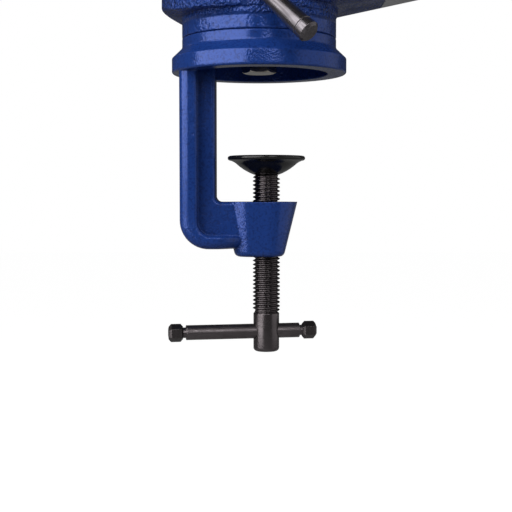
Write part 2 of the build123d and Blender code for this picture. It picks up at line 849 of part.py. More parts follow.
gib_contact = slide_half + flank_gap + gib_run - (gib_y - slide_bottom) / flank
gib_point = gib_screw_d / 2 / flank + slide_gap
screw_out = body_width / 2 + gib_nut_t + gib_screw_proud
with BuildPart() as gib_screws:
    for x in gib_screw_at:
        with BuildSketch(Plane.XZ.offset(-gib_contact - gib_point)):
            with Locations((x, gib_y)):
                Circle(gib_screw_d / 2)
        extrude(amount=gib_contact + gib_point - screw_out)
        with BuildSketch(Plane.XZ.offset(-screw_out)):
            with Locations((x, gib_y)):
                RegularPolygon(gib_socket_af / 2, 6, major_radius=False)
        extrude(amount=gib_socket_depth, mode=Mode.SUBTRACT)
gib_screws.part.label = "gib_screws"
export_step(gib_screws.part, "parts/gib_screws.step")

with BuildPart() as gib_lock_nuts:
    for x in gib_screw_at:
        with BuildSketch(Plane.XZ.offset(-body_width / 2)):
            with Locations((x, gib_y)):
                RegularPolygon(gib_nut_af / 2, 6, major_radius=False)
                Circle(gib_screw_d / 2 + tap_gap, mode=Mode.SUBTRACT)
        extrude(amount=-gib_nut_t)
gib_lock_nuts.part.label = "gib_lock_nuts"
export_step(gib_lock_nuts.part, "parts/gib_lock_nuts.step")

# Main spindle, its bearing pieces and its nut
spindle_plane = Plane(origin=(0, 0, spindle_z), x_dir=(0, 0, 1), z_dir=(0, 1, 0))
spindle_axis = Axis((0, 0, spindle_z), (1, 0, 0))
spindle_r = spindle_d / 2
thread_start = collar_back
handle_plane = Plane(origin=(handle_x, 0, spindle_z), x_dir=(1, 0, 0), z_dir=(0, 1, 0))
with BuildPart() as spindle:
    with BuildSketch(spindle_plane):
        with BuildLine():
            Polyline(
                (0, spindle_end),
                (0, spindle_tip),
                (spindle_head_d / 2, spindle_tip),
                (spindle_head_d / 2, washer_face),
                (spindle_r, washer_face),
                (spindle_r, thread_start),
                *thread_points(
                    spindle_r, spindle_depth, thread_start, spindle_end - thread_start, spindle_pitch
                ),
                (spindle_r - spindle_depth, spindle_end),
                close=True,
            )
        make_face()
    revolve(axis=spindle_axis)
    head_edges = spindle.edges().filter_by(GeomType.CIRCLE).group_by(Axis.X)[0]
    fillet(head_edges, spindle_head_round)
    with BuildSketch(handle_plane):
        Circle(handle_d / 2 + handle_hole_gap)
    extrude(amount=spindle_head_d, both=True, mode=Mode.SUBTRACT)
    with Locations(((collar_front + collar_back) / 2, 0, spindle_z)):
        Cylinder(collar_pin_d / 2 + tap_gap, collar_d, mode=Mode.SUBTRACT)
spindle.part.label = "spindle"
export_step(spindle.part, "parts/spindle.step")

with BuildPart() as spindle_washer:
    with BuildSketch(Plane.YZ.offset(washer_face)):
        with Locations((0, spindle_z)):
            Circle(spindle_washer_d / 2)
            Circle(spindle_r + tap_gap, mode=Mode.SUBTRACT)
    extrude(amount=spindle_washer_t)
spindle_washer.part.label = "spindle_washer"
export_step(spindle_washer.part, "parts/spindle_washer.step")

with BuildPart() as spindle_collar:
    with BuildSketch(Plane.YZ.offset(collar_front)):
        with Locations((0, spindle_z)):
            Circle(collar_d / 2)
            Circle(spindle_r + tap_gap, mode=Mode.SUBTRACT)
    extrude(amount=collar_l)
    with Locations(((collar_front + collar_back) / 2, 0, spindle_z)):
        Cylinder(collar_pin_d / 2 + tap_gap, collar_d * 2, mode=Mode.SUBTRACT)
spindle_collar.part.label = "spindle_collar"
export_step(spindle_collar.part, "parts/spindle_collar.step")

with BuildPart() as spindle_collar_pin:
    with Locations(((collar_front + collar_back) / 2, 0, spindle_z)):
        Cylinder(collar_pin_d / 2, collar_d - stop_gap * 2)
spindle_collar_pin.part.label = "spindle_collar_pin"
export_step(spindle_collar_pin.part, "parts/spindle_collar_pin.step")

with BuildPart() as spindle_nut:
    with BuildSketch(Plane.YZ.offset(nut_front)):
        with Locations((0, slot_floor)):
            Rectangle(nut_w, spindle_z + nut_over - slot_floor, align=(Align.CENTER, Align.MIN))
    extrude(amount=nut_l)
    with Locations((nut_front + nut_l / 2, 0, slot_floor)):
        Cylinder(
            nut_tenon_d / 2,
            nut_tenon_l - stop_gap,
            align=(Align.CENTER, Align.CENTER, Align.MAX),
        )
    with BuildSketch(Plane.YZ.offset(nut_front)):
        with Locations((0, spindle_z)):
            Circle(spindle_r + run_gap)
    extrude(amount=nut_l, mode=Mode.SUBTRACT)
spindle_nut.part.label = "spindle_nut"
export_step(spindle_nut.part, "parts/spindle_nut.step")

# Main handle, level and slid to the middle
handle_half = handle_grip / 2
handle_end = handle_half + handle_neck
with BuildPart(handle_plane) as spindle_handle:
    Cylinder(handle_d / 2, handle_grip)
    Cylinder(handle_neck_d / 2, handle_end * 2)
spindle_handle.part.label = "spindle_handle"
export_step(spindle_handle.part, "parts/spindle_handle.step")

with BuildPart() as spindle_handle_knobs:
    for side in (-1, 1):
        with BuildSketch(handle_plane.offset(side * handle_half)):
            Circle(handle_knob_d / 2)
        extrude(amount=side * handle_knob_l)
    fillet(
        spindle_handle_knobs.edges().filter_by(GeomType.CIRCLE),
        handle_knob_round,
    )
    with BuildSketch(handle_plane):
        Circle(handle_neck_d / 2 + tap_gap)
    extrude(amount=handle_end, both=True, mode=Mode.SUBTRACT)
spindle_handle_knobs.part.label = "spindle_handle_knobs"
export_step(spindle_handle_knobs.part, "parts/spindle_handle_knobs.step")
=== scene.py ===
"""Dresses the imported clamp-on swivel vise and sets up its studio view.

Metres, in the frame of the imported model: +Z up along the swivel axis, +X to the anvil end and
-Y to the side of the lock lever.
"""

import logging
import math
from dataclasses import dataclass, field
from enum import Enum
from typing import ClassVar, Sequence

import bmesh
import bpy
from mathutils import Matrix, Vector


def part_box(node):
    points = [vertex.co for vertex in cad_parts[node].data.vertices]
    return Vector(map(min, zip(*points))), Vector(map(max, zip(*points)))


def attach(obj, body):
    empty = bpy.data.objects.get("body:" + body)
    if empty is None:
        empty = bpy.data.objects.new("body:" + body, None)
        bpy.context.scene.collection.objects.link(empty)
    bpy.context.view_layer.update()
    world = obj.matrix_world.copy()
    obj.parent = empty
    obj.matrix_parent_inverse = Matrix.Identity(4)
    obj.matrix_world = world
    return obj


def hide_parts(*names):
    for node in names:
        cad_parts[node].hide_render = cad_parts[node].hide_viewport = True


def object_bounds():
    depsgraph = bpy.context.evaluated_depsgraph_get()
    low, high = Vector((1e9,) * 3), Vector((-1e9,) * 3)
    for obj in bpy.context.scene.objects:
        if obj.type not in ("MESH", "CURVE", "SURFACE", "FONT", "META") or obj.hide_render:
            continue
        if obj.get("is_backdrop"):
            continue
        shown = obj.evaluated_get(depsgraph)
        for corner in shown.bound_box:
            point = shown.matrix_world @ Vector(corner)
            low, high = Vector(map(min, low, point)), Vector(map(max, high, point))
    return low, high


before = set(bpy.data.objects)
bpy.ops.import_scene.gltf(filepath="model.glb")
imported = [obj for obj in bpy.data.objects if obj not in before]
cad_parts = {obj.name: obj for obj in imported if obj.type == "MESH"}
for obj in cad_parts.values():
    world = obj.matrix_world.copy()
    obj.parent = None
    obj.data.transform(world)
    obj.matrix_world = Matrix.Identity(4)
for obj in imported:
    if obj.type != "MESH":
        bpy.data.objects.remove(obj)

LOG = logging.getLogger("vise")
WELD = 1e-7
BEVEL_SAMPLES = 6

Colour = tuple[float, float, float]
Socket = bpy.types.NodeSocket
Value = Socket | float
Inputs = dict[str | int, Value | Sequence[float]]
Point = tuple[float, float]


class Along(Enum):
    """The axis that a turned or ground piece is worked along."""

    X = (1.0, 0.0, 0.0)
    Y = (0.0, 1.0, 0.0)
    Z = (0.0, 0.0, 1.0)
    LEVER = (0.615, -0.443, -0.652)


class LightKind(Enum):
    """The part that a lamp plays in the studio."""

    KEY = "key_softbox"
    FILL = "fill_softbox"
    FRONT = "front_softbox"
    LOW = "low_card"


class Graph:
    """Adds and links nodes in one shader node tree."""

    def __init__(self, tree: bpy.types.NodeTree) -> None:
        """Keeps the tree.

        Args:
            tree: The node tree to work in.
        """
        self.tree = tree

    def put(self, target: Socket, value: Value | Sequence[float]) -> None:
        """Links a socket to an input, or sets the input's own value.

        Args:
            target: The input socket.
            value: A socket to link, or a number or vector to set.
        """
        if isinstance(value, bpy.types.NodeSocket):
            self.tree.links.new(value, target)
        else:
            target.default_value = value

    def add(self, kind: str, inputs: Inputs | None = None, **settings: object) -> bpy.types.Node:
        """Adds a node.

        Args:
            kind: The node's type name.
            inputs: Values or sockets for its inputs, by name or number.
            **settings: The node's own settings.

        Returns:
            The new node.
        """
        node = self.tree.nodes.new(kind)
        for name, setting in settings.items():
            setattr(node, name, setting)
        for key, value in (inputs or {}).items():
            self.put(node.inputs[key], value)
        return node

    def math(self, operation: str, *values: Value) -> Socket:
        """Adds a math node.

        Args:
            operation: The name of the operation.
            *values: Its operands.

        Returns:
            The result's socket.
        """
        node = self.add("ShaderNodeMath", dict(enumerate(values)), operation=operation)
        return node.outputs[0]

    def dot(self, first: Value | Sequence[float], second: Value | Sequence[float]) -> Socket:
        """Adds a dot product and returns its socket."""
        node = self.add("ShaderNodeVectorMath", {0: first, 1: second}, operation="DOT_PRODUCT")
        return node.outputs["Value"]

    def ramp(self, value: Socket, low: float, high: float) -> Socket:
        """Adds a smooth step.

        Args:
            value: The value to sort.
            low: Where the result is 0.
            high: Where the result is 1.

        Returns:
            The result's socket.
        """
        node = self.add(
            "ShaderNodeMapRange",
            {"Value": value, "From Min": low, "From Max": high},
            interpolation_type="SMOOTHSTEP",
        )
        return node.outputs["Result"]

    def blend(self, share: Value, first: Value | Colour, second: Value | Colour) -> Socket:
        """Adds a colour mix.

        Args:
            share: How much of the second colour there is.
            first: The first colour or its socket.
            second: The second colour or its socket.

        Returns:
            The mixed colour's socket.
        """
        node = self.add("ShaderNodeMix", data_type="RGBA")
        sides = {"A": first, "B": second}
        self.put(node.inputs["Factor"], share)
        for name, side in sides.items():
            target = [s for s in node.inputs if s.name == name and s.type == "RGBA"][0]
            self.put(target, (*side, 1.0) if isinstance(side, tuple) else side)
        return [s for s in node.outputs if s.type == "RGBA"][0]

    def mix(self, share: Socket, first: Value, second: Value) -> Socket:
        """Adds a mix of two numbers.

        Args:
            share: How much of the second number there is.
            first: The first number or its socket.
            second: The second number or its socket.

        Returns:
            The mixed number's socket.
        """
        left = self.math("SUBTRACT", 1.0, share)
        return self.math("ADD", self.math("MULTIPLY", first, left), self.math("MULTIPLY", second, share))

    def noise(self, place: Socket, scale: Value, detail: float = 2.0) -> Socket:
        """Adds a noise texture.

        Args:
            place: The coordinates.
            scale: Features per metre.
            detail: How many finer layers it has.

        Returns:
            The noise value's socket.
        """
        node = self.add("ShaderNodeTexNoise", {"Vector": place, "Scale": scale, "Detail": detail})
        return node.outputs[0]


class Effect:
    """A shader effect that several finishes share, built once as a node group."""

    name = "effect"
    inputs: dict[str, float] = {}
    outputs: tuple[str, ...] = ()
    made: dict[str, bpy.types.NodeTree] = {}

    def tree(self) -> bpy.types.NodeTree:
        """Builds the group at the first call.

        Returns:
            The group's tree.
        """
        if self.name not in Effect.made:
            tree = bpy.data.node_groups.new(self.name, "ShaderNodeTree")
            for label, value in self.inputs.items():
                socket = tree.interface.new_socket(label, in_out="INPUT", socket_type="NodeSocketFloat")
                socket.default_value = value
            for label in self.outputs:
                tree.interface.new_socket(label, in_out="OUTPUT", socket_type="NodeSocketFloat")
            graph = Graph(tree)
            taken = graph.add("NodeGroupInput").outputs
            given = graph.add("NodeGroupOutput").inputs
            for label, socket in self.wire(graph, taken).items():
                graph.put(given[label], socket)
            Effect.made[self.name] = tree
        return Effect.made[self.name]

    def wire(self, graph: Graph, taken: bpy.types.NodeOutputs) -> dict[str, Socket]:
        """Builds the group's nodes.

        Args:
            graph: The group's graph.
            taken: The sockets of the group's inputs.

        Returns:
            The socket for each of the group's outputs.
        """
        raise NotImplementedError

    def place(self, graph: Graph, **values: Value) -> bpy.types.NodeOutputs:
        """Places the group in a material.

        Args:
            graph: The material's graph.
            **values: The group's inputs, with underscores for spaces.

        Returns:
            The placed group's output sockets.
        """
        node = graph.add("ShaderNodeGroup", node_tree=self.tree())
        for label, value in values.items():
            graph.put(node.inputs[label.replace("_", " ")], value)
        return node.outputs


class CastGrain(Effect):
    """The pebbled skin of a sand casting under paint."""

    name = "cast_grain"
    inputs = {"Pebbles": 1200.0, "Swell": 60.0, "Patch": 45.0}
    outputs = ("Height", "Hollow")
    melt = 0.9
    fine_scale = 0.7
    fine_weight = 1.3
    swell_weight = 1.5
    calm_share = 0.25
    patch_edges = (0.38, 0.62)
    hollow_edges = (-0.1, 0.25)

    def wire(self, graph: Graph, taken: bpy.types.NodeOutputs) -> dict[str, Socket]:
        """Mixes fine pebbles, a slow swell and patches of smoother skin.

        Args:
            graph: The group's graph.
            taken: The sockets of the group's inputs.

        Returns:
            The socket for each of the group's outputs.
        """
        place = graph.add("ShaderNodeTexCoord").outputs["Object"]
        pebbles = graph.add(
            "ShaderNodeTexVoronoi",
            {"Vector": place, "Scale": taken["Pebbles"], "Smoothness": self.melt, "Randomness": 1.0},
            feature="SMOOTH_F1",
        ).outputs["Distance"]
        fine = graph.noise(place, graph.math("MULTIPLY", taken["Pebbles"], self.fine_scale), 3.0)
        swell = graph.noise(place, taken["Swell"], 2.0)
        patch = graph.ramp(graph.noise(place, taken["Patch"], 3.0), *self.patch_edges)
        rough = graph.math("SUBTRACT", graph.math("MULTIPLY", fine, self.fine_weight), pebbles)
        share = graph.math("MULTIPLY_ADD", patch, 1.0 - self.calm_share, self.calm_share)
        slow = graph.math("MULTIPLY", swell, self.swell_weight)
        height = graph.math("MULTIPLY_ADD", rough, share, slow)
        # The hollows of the grain, which the enamel darkens as painted shade.
        hollow = graph.ramp(graph.math("SUBTRACT", pebbles, fine), *self.hollow_edges)
        return {"Height": height, "Hollow": hollow}


class EdgeWearAndHighlight(Effect):
    """Marks edges: where rubbing has reached them, and where a lighter edge is painted as a highlight."""

    name = "edge_wear_and_highlight"
    inputs = {"Radius": 0.0006, "Breakup": 400.0, "Reach": 0.5}
    outputs = ("Mask",)
    bend_edges = (0.01, 0.16)
    chip_edges = (0.35, 0.6)

    def wire(self, graph: Graph, taken: bpy.types.NodeOutputs) -> dict[str, Socket]:
        """Compares the rounded normal with the true one and breaks the result up.

        Args:
            graph: The group's graph.
            taken: The sockets of the group's inputs.

        Returns:
            The socket for each of the group's outputs.
        """
        rounded = graph.add("ShaderNodeBevel", {"Radius": taken["Radius"]}, samples=BEVEL_SAMPLES)
        true = graph.add("ShaderNodeNewGeometry").outputs["Normal"]
        bend = graph.math("SUBTRACT", 1.0, graph.dot(rounded.outputs[0], true))
        place = graph.add("ShaderNodeTexCoord").outputs["Object"]
        chips = graph.noise(place, taken["Breakup"], 4.0)
        bent = graph.ramp(bend, *self.bend_edges)
        edge_marked = graph.math("MULTIPLY", bent, graph.ramp(chips, *self.chip_edges))
        return {"Mask": graph.math("MULTIPLY", edge_marked, taken["Reach"])}


class ToolLines(Effect):
    """Fine lines that turning or grinding leaves, at right angles to the worked axis."""

    name = "tool_lines"
    inputs = {"Along X": 0.0, "Along Y": 0.0, "Along Z": 1.0, "Lines": 4000.0}
    outputs = ("Height", "Streak")
    drift_scale = 90.0
    drift_reach = 0.0002
    streak_scale = 0.12

    def wire(self, graph: Graph, taken: bpy.types.NodeOutputs) -> dict[str, Socket]:
        """Reads noise by the distance along the axis alone.

        Args:
            graph: The group's graph.
            taken: The sockets of the group's inputs.

        Returns:
            The socket for each of the group's outputs.
        """
        place = graph.add("ShaderNodeTexCoord").outputs["Object"]
        axis = graph.add(
            "ShaderNodeCombineXYZ",
            {"X": taken["Along X"], "Y": taken["Along Y"], "Z": taken["Along Z"]},
        ).outputs[0]
        drift = graph.math("MULTIPLY", graph.noise(place, self.drift_scale, 1.0), self.drift_reach)
        step = graph.math("ADD", graph.dot(place, axis), drift)
        lines = graph.add(
            "ShaderNodeTexNoise",
            {"W": step, "Scale": taken["Lines"], "Detail": 2.0},
            noise_dimensions="1D",
        ).outputs[0]
        wide = graph.math("MULTIPLY", taken["Lines"], self.streak_scale)
        streak = graph.add(
            "ShaderNodeTexNoise",
            {"W": step, "Scale": wide, "Detail": 1.0},
            noise_dimensions="1D",
        ).outputs[0]
        return {"Height": lines, "Streak": streak}


class DrawnLines(Effect):
    """Long streaks that drawing or draw-filing leaves along the worked axis."""

    name = "drawn_lines"
    inputs = {"Along X": 1.0, "Along Y": 0.0, "Along Z": 0.0, "Lines": 1400.0}
    outputs = ("Streak",)
    stretch = 0.96
    streak_edges = (0.36, 0.66)

    def wire(self, graph: Graph, taken: bpy.types.NodeOutputs) -> dict[str, Socket]:
        """Reads noise that is stretched along the axis.

        Args:
            graph: The group's graph.
            taken: The sockets of the group's inputs.

        Returns:
            The socket for each of the group's outputs.
        """
        place = graph.add("ShaderNodeTexCoord").outputs["Object"]
        axis = graph.add(
            "ShaderNodeCombineXYZ",
            {"X": taken["Along X"], "Y": taken["Along Y"], "Z": taken["Along Z"]},
        ).outputs[0]
        shrink = graph.math("MULTIPLY", graph.dot(place, axis), self.stretch)
        along = graph.add("ShaderNodeVectorMath", {0: axis, "Scale": shrink}, operation="SCALE").outputs[0]
        across = graph.add("ShaderNodeVectorMath", {0: place, 1: along}, operation="SUBTRACT").outputs[0]
        lines = graph.noise(across, taken["Lines"], 3.0)
        return {"Streak": graph.ramp(lines, *self.streak_edges)}


class Handling(Effect):
    """Dull and greasy patches that hands leave."""

    name = "handling"
    inputs = {"Patches": 55.0}
    outputs = ("Smear",)
    smear_edges = (0.35, 0.7)

    def wire(self, graph: Graph, taken: bpy.types.NodeOutputs) -> dict[str, Socket]:
        """Reads slow noise for wide smears.

        Args:
            graph: The group's graph.
            taken: The sockets of the group's inputs.

        Returns:
            The socket for each of the group's outputs.
        """
        place = graph.add("ShaderNodeTexCoord").outputs["Object"]
        patches = graph.noise(place, taken["Patches"], 5.0)
        return {"Smear": graph.ramp(patches, *self.smear_edges)}


CAST_GRAIN = CastGrain()
EDGE_WEAR_AND_HIGHLIGHT = EdgeWearAndHighlight()
TOOL_LINES = ToolLines()
DRAWN_LINES = DrawnLines()
HANDLING = Handling()


class Finish:
    """A surface finish that makes one material."""

    name: str
    edge: float
    made: ClassVar[dict[str, bpy.types.Material]] = {}

    def material(self) -> bpy.types.Material:
        """Makes the finish's material at the first call.

        Returns:
            The material.
        """
        if self.name not in Finish.made:
            material = bpy.data.materials.new("dressed_" + self.name)
            material.use_nodes = True
            material.node_tree.nodes.clear()
            graph = Graph(material.node_tree)
            shader = graph.add("ShaderNodeBsdfPrincipled")
            graph.add("ShaderNodeOutputMaterial", {"Surface": shader.outputs[0]})
            self.wire(graph, shader)
            Finish.made[self.name] = material
        return Finish.made[self.name]

    def wire(self, graph: Graph, shader: bpy.types.Node) -> None:
        """Feeds the material's shader.

        Args:
            graph: The material's graph.
            shader: Its Principled shader.
        """
        raise NotImplementedError

    def bump(self, graph: Graph, shader: bpy.types.Node, height: Socket, depth: float) -> None:
        """Raises the surface by a height map, over softly rounded edges.

        Args:
            graph: The material's graph.
            shader: Its Principled shader.
            height: The height map, about 0 to 1.
            depth: What a height of 1 stands for, in metres.
        """
        soft = graph.add("ShaderNodeBevel", {"Radius": self.edge}, samples=BEVEL_SAMPLES)
        raised = graph.add(
            "ShaderNodeBump",
            {"Height": height, "Distance": depth, "Strength": 1.0, "Normal": soft.outputs[0]},
        )
        graph.put(shader.inputs["Normal"], raised.outputs[0])


@dataclass(frozen=True)
class BareZone:
    """The part of a painted casting that is left as ground metal.

    Attributes:
        start: Distance of its border along the axis from the origin, in metres.
        lean: How far the border leans along X for each metre of height.
        along: The axis that the border is measured along.
        ragged: How far the brush wanders over the border.
        strokes: How many times in a metre it does so.
        feather: Width of the border itself.
    """

    start: float
    lean: float = 0.0
    along: Along = Along.X
    ragged: float = 0.0022
    strokes: float = 260.0
    feather: float = 0.0006

    def mask(self, graph: Graph) -> Socket:
        """Marks the bare zone, with a brushed edge to the paint.

        Args:
            graph: The material's graph.

        Returns:
            A mask that is 1 on bare metal.
        """
        place = graph.add("ShaderNodeTexCoord").outputs["Object"]
        way = Vector(self.along.value) + Vector((0.0, 0.0, -self.lean))
        wander = graph.math("MULTIPLY", graph.noise(place, self.strokes, 4.0), self.ragged)
        reach = graph.math("ADD", graph.dot(place, tuple(way)), wander)
        return graph.ramp(reach, self.start, self.start + self.feather)


@dataclass(frozen=True)
class CastEnamel(Finish):
    """Blue enamel over sand-cast iron, with an optional bare zone.

    Attributes:
        name: The material's name.
        colour: The enamel.
        shade: Painted shade, the enamel drawn darker in the hollows of the grain.
        worn_and_highlit_edge: The enamel on the edges, lighter for rubbing and as a painted highlight.
        metal: The ground iron of the bare zone.
        metal_shade: The same iron in its grinding lines.
        metal_roughness: Roughness of that iron between the lines.
        metal_lines: How many grinding lines it has in a metre.
        roughness: Roughness of clean enamel.
        shine: Its specular level.
        flake: How metallic its shine is.
        smear_dulls: How much rougher handled enamel is.
        hollow_dulls: How much rougher the hollows of the grain are.
        grain_depth: Height of the grain.
        pebbles: How many grains there are in a metre.
        calm_below: Height under which the grain is nearly flat, or None.
        calm_share: How much of the grain is left there.
        calm_border: Height over which the grain comes back.
        edge: Radius that edges look rounded to.
        edge_band_width: Reach of the lighter edges, in such radii.
        wear_and_highlight: How far the edges are lightened, by rubbing and as a painted highlight.
        bare: The zone without paint, or None.
    """

    name: str
    colour: Colour = (0.012, 0.047, 0.24)
    shade: Colour = (0.008, 0.032, 0.17)
    worn_and_highlit_edge: Colour = (0.05, 0.095, 0.31)
    metal: Colour = (0.62, 0.62, 0.64)
    metal_shade: Colour = (0.465, 0.465, 0.48)
    metal_roughness: float = 0.24
    metal_lines: float = 3000.0
    roughness: float = 0.15
    shine: float = 0.38
    flake: float = 0.28
    smear_dulls: float = 0.05
    hollow_dulls: float = 0.06
    grain_depth: float = 0.0001
    pebbles: float = 1250.0
    calm_below: float | None = None
    calm_share: float = 0.15
    calm_border: float = 0.002
    edge: float = 0.0007
    edge_band_width: float = 1.6
    wear_and_highlight: float = 0.55
    bare: BareZone | None = None

    GRINDING: ClassVar[tuple[float, float, float]] = (0.0, 0.9, 0.3)
    LINE_DULLS: ClassVar[float] = 0.2
    LINE_HEIGHT: ClassVar[float] = 0.06

    def wire(self, graph: Graph, shader: bpy.types.Node) -> None:
        """Lays pebbled paint with painted shade in its hollows, edges lightened by rubbing and as a painted
        highlight and, where asked for, the bare metal.

        Args:
            graph: The material's graph.
            shader: Its Principled shader.
        """
        grain = CAST_GRAIN.place(graph, Pebbles=self.pebbles)
        wear_and_highlight = EDGE_WEAR_AND_HIGHLIGHT.place(graph, Radius=self.edge * self.edge_band_width, Reach=self.wear_and_highlight)
        hands = HANDLING.place(graph)
        # Painted shade: the enamel is darker in the hollows of the grain.
        paint = graph.blend(grain["Hollow"], self.colour, self.shade)
        # Lighter edges: partly paint thinned by rubbing, partly a painted highlight.
        paint = graph.blend(wear_and_highlight["Mask"], paint, self.worn_and_highlit_edge)
        rough = graph.math("MULTIPLY_ADD", hands["Smear"], self.smear_dulls, self.roughness)
        rough = graph.math("MULTIPLY_ADD", grain["Hollow"], self.hollow_dulls, rough)
        height = grain["Height"]
        if self.calm_below is not None:
            height = graph.math("MULTIPLY", height, self.calm(graph))
        shader.inputs["Specular IOR Level"].default_value = self.shine
        shader.inputs["Metallic"].default_value = self.flake
        if self.bare is not None:
            mask = self.bare.mask(graph)
            x, y, z = self.GRINDING
            lines = TOOL_LINES.place(graph, Along_X=x, Along_Y=y, Along_Z=z, Lines=self.metal_lines)
            iron = graph.blend(lines["Streak"], self.metal, self.metal_shade)
            ground = graph.math("MULTIPLY_ADD", lines["Streak"], self.LINE_DULLS, self.metal_roughness)
            flat = graph.math("MULTIPLY", lines["Height"], self.LINE_HEIGHT)
            paint = graph.blend(mask, paint, iron)
            rough = graph.mix(mask, rough, ground)
            height = graph.mix(mask, height, flat)
            graph.put(shader.inputs["Metallic"], graph.math("MAXIMUM", mask, self.flake))
        graph.put(shader.inputs["Base Color"], paint)
        graph.put(shader.inputs["Roughness"], rough)
        self.bump(graph, shader, height, self.grain_depth)

    def calm(self, graph: Graph) -> Socket:
        """Flattens the grain on the lower part of a piece.

        Args:
            graph: The material's graph.

        Returns:
            How much of the grain is left at each height.
        """
        place = graph.add("ShaderNodeTexCoord").outputs["Object"]
        height = graph.dot(place, Along.Z.value)
        level = graph.ramp(height, self.calm_below, self.calm_below + self.calm_border)
        return graph.math("MULTIPLY_ADD", level, 1.0 - self.calm_share, self.calm_share)


@dataclass(frozen=True)
class WorkedSteel(Finish):
    """Turned, drawn or ground steel, bare, blackened or plated.

    Attributes:
        name: The material's name.
        colour: The clean metal.
        stain: The metal where it is handled or lined.
        worn_and_highlit_edge: The metal on the edges, lighter for rubbing and as a painted highlight.
        roughness: Roughness of the clean metal.
        along: The axis that it is worked along.
        lines: How many tool lines it has in a metre.
        line_depth: Depth of those lines.
        edge: Radius that edges look rounded to.
        wear_and_highlight: How far edges are lightened, by rubbing and as a painted highlight.
        drawn: How strong the long streaks along the axis are.
    """

    name: str
    colour: Colour
    stain: Colour
    worn_and_highlit_edge: Colour
    roughness: float
    along: Along = Along.Z
    lines: float = 4000.0
    line_depth: float = 0.00001
    edge: float = 0.00035
    wear_and_highlight: float = 0.6
    drawn: float = 0.0

    EDGE_BAND_WIDTH: ClassVar[float] = 1.5
    EDGE_BREAKUP: ClassVar[float] = 700.0
    HAND_PATCHES: ClassVar[float] = 80.0
    SMEAR_STAINS: ClassVar[float] = 0.6
    SMEAR_DULLS: ClassVar[float] = 0.08
    STREAK_STAINS: ClassVar[float] = 0.25
    STREAK_DULLS: ClassVar[float] = 0.14
    STREAK_MEAN: ClassVar[float] = 0.05
    DRAWN_DULLS: ClassVar[float] = 0.1

    def wire(self, graph: Graph, shader: bpy.types.Node) -> None:
        """Lays the metal, its tool lines, stains, and its edges lightened by rubbing and as a painted
        highlight.

        Args:
            graph: The material's graph.
            shader: Its Principled shader.
        """
        x, y, z = self.along.value
        lines = TOOL_LINES.place(graph, Along_X=x, Along_Y=y, Along_Z=z, Lines=self.lines)
        wide = self.edge * self.EDGE_BAND_WIDTH
        wear_and_highlight = EDGE_WEAR_AND_HIGHLIGHT.place(graph, Radius=wide, Breakup=self.EDGE_BREAKUP, Reach=self.wear_and_highlight)
        hands = HANDLING.place(graph, Patches=self.HAND_PATCHES)
        handled = graph.math("MULTIPLY", hands["Smear"], self.SMEAR_STAINS)
        metal = graph.blend(handled, self.colour, self.stain)
        lined = graph.math("MULTIPLY", lines["Streak"], self.STREAK_STAINS)
        metal = graph.blend(lined, metal, self.stain)
        smooth = self.roughness - self.STREAK_MEAN
        rough = graph.math("MULTIPLY_ADD", lines["Streak"], self.STREAK_DULLS, smooth)
        if self.drawn:
            long = DRAWN_LINES.place(graph, Along_X=x, Along_Y=y, Along_Z=z)
            streaked = graph.math("MULTIPLY", long["Streak"], self.drawn)
            metal = graph.blend(streaked, metal, self.stain)
            rough = graph.math("MULTIPLY_ADD", long["Streak"], self.DRAWN_DULLS, rough)
        # Lighter edges: partly metal polished by rubbing, partly a painted highlight.
        metal = graph.blend(wear_and_highlight["Mask"], metal, self.worn_and_highlit_edge)
        rough = graph.math("MULTIPLY_ADD", hands["Smear"], self.SMEAR_DULLS, rough)
        shader.inputs["Metallic"].default_value = 1.0
        graph.put(shader.inputs["Base Color"], metal)
        graph.put(shader.inputs["Roughness"], rough)
        self.bump(graph, shader, lines["Height"], self.line_depth)


@dataclass(frozen=True)
class GlossEnamel(Finish):
    """Dipped gloss enamel on a pressed piece.

    Attributes:
        name: The material's name.
        colour: The enamel.
        worn_and_highlit_edge: The enamel on the rims, lighter for rubbing and as a painted highlight.
        roughness: Roughness of clean enamel.
        shine: Its specular level.
        edge: Radius that edges look rounded to.
    """

    name: str
    colour: Colour
    worn_and_highlit_edge: Colour
    roughness: float = 0.16
    shine: float = 0.4
    edge: float = 0.0004

    EDGE_BAND_WIDTH: ClassVar[float] = 1.5
    EDGE_BREAKUP: ClassVar[float] = 500.0
    EDGE_REACH: ClassVar[float] = 0.35
    SMEAR_DULLS: ClassVar[float] = 0.1
    PEEL_SCALE: ClassVar[float] = 450.0
    PEEL_DEPTH: ClassVar[float] = 0.00002

    def wire(self, graph: Graph, shader: bpy.types.Node) -> None:
        """Lays smooth enamel with a slight orange-peel, and rims lightened by rubbing and as a painted
        highlight.

        Args:
            graph: The material's graph.
            shader: Its Principled shader.
        """
        wide = self.edge * self.EDGE_BAND_WIDTH
        wear_and_highlight = EDGE_WEAR_AND_HIGHLIGHT.place(graph, Radius=wide, Breakup=self.EDGE_BREAKUP, Reach=self.EDGE_REACH)
        hands = HANDLING.place(graph)
        place = graph.add("ShaderNodeTexCoord").outputs["Object"]
        peel = graph.noise(place, self.PEEL_SCALE, 1.0)
        rough = graph.math("MULTIPLY_ADD", hands["Smear"], self.SMEAR_DULLS, self.roughness)
        # Lighter rims: partly enamel thinned by rubbing, partly a painted highlight.
        graph.put(shader.inputs["Base Color"], graph.blend(wear_and_highlight["Mask"], self.colour, self.worn_and_highlit_edge))
        graph.put(shader.inputs["Roughness"], rough)
        shader.inputs["Specular IOR Level"].default_value = self.shine
        self.bump(graph, shader, peel, self.PEEL_DEPTH)


